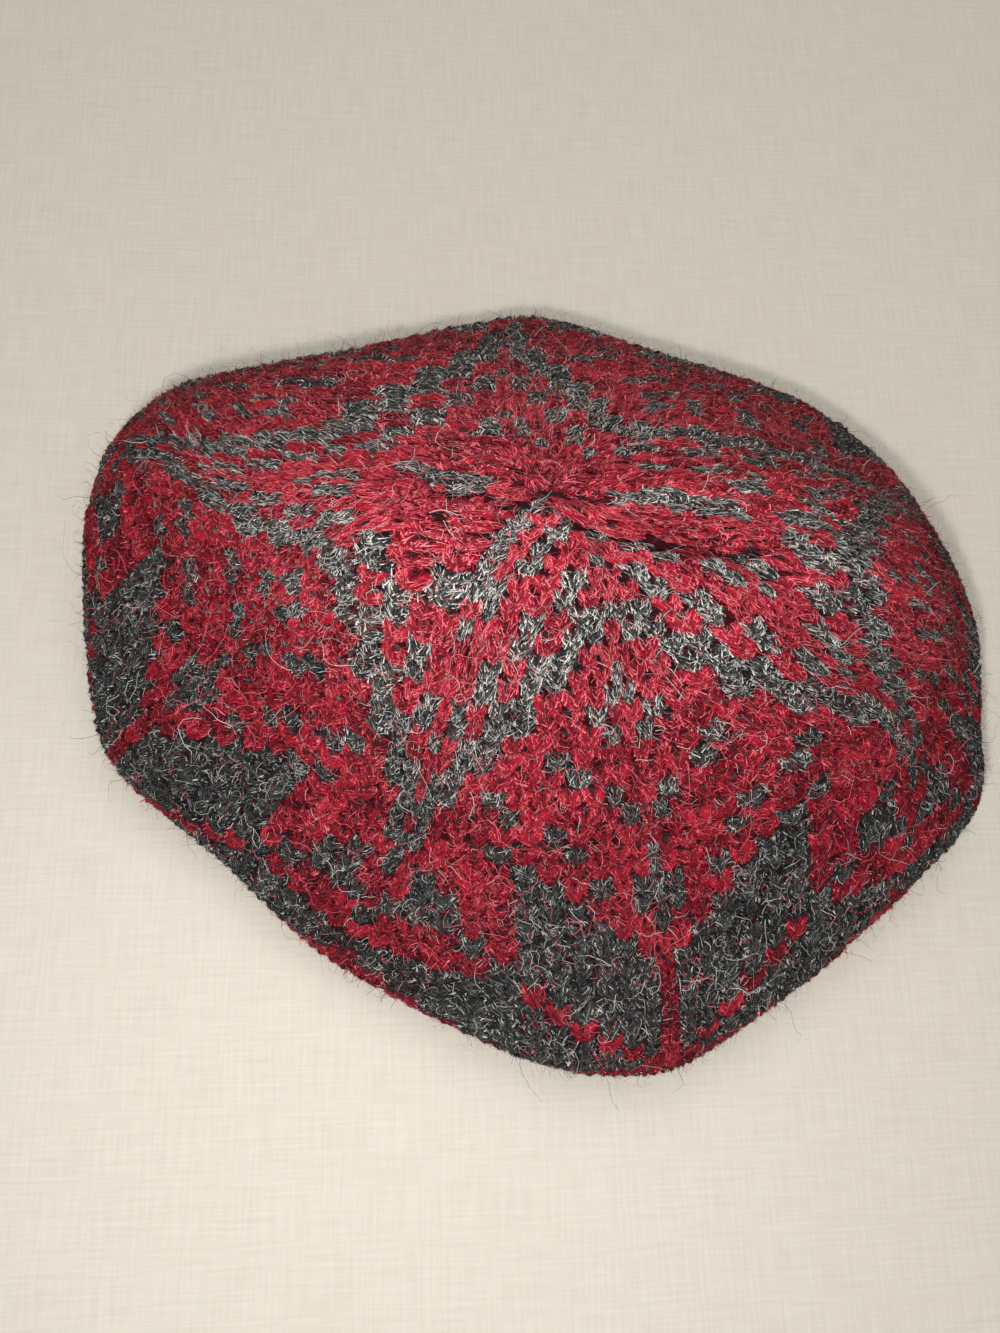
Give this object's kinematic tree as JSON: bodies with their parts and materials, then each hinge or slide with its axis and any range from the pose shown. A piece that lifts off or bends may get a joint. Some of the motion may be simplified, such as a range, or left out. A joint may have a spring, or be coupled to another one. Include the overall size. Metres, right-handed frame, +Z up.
{
  "type": "beanie",
  "caption": "Hand-knitted two-colour wool beanie with a star pattern, lying crown-up with its brim tucked under.",
  "frame": {"origin": "centre of the bounding box in plan, on the surface that the hat lies on", "axes": "+Z up through the crown, +X to the right along the longer side and the crest of the crown, -Y the low front edge"},
  "size_m": [0.216, 0.1894, 0.074],
  "materials": {
    "crown_knit": "matte fuzzy wool, heather red with charcoal",
    "side_knit": "matte fuzzy wool, heather red with charcoal stars",
    "brim_knit": "matte wool, dark red"
  },
  "bodies": {
    "root": {"crown": "crown_knit", "side": "side_knit", "brim_band": "brim_knit"}
  },
  "joints": []
}
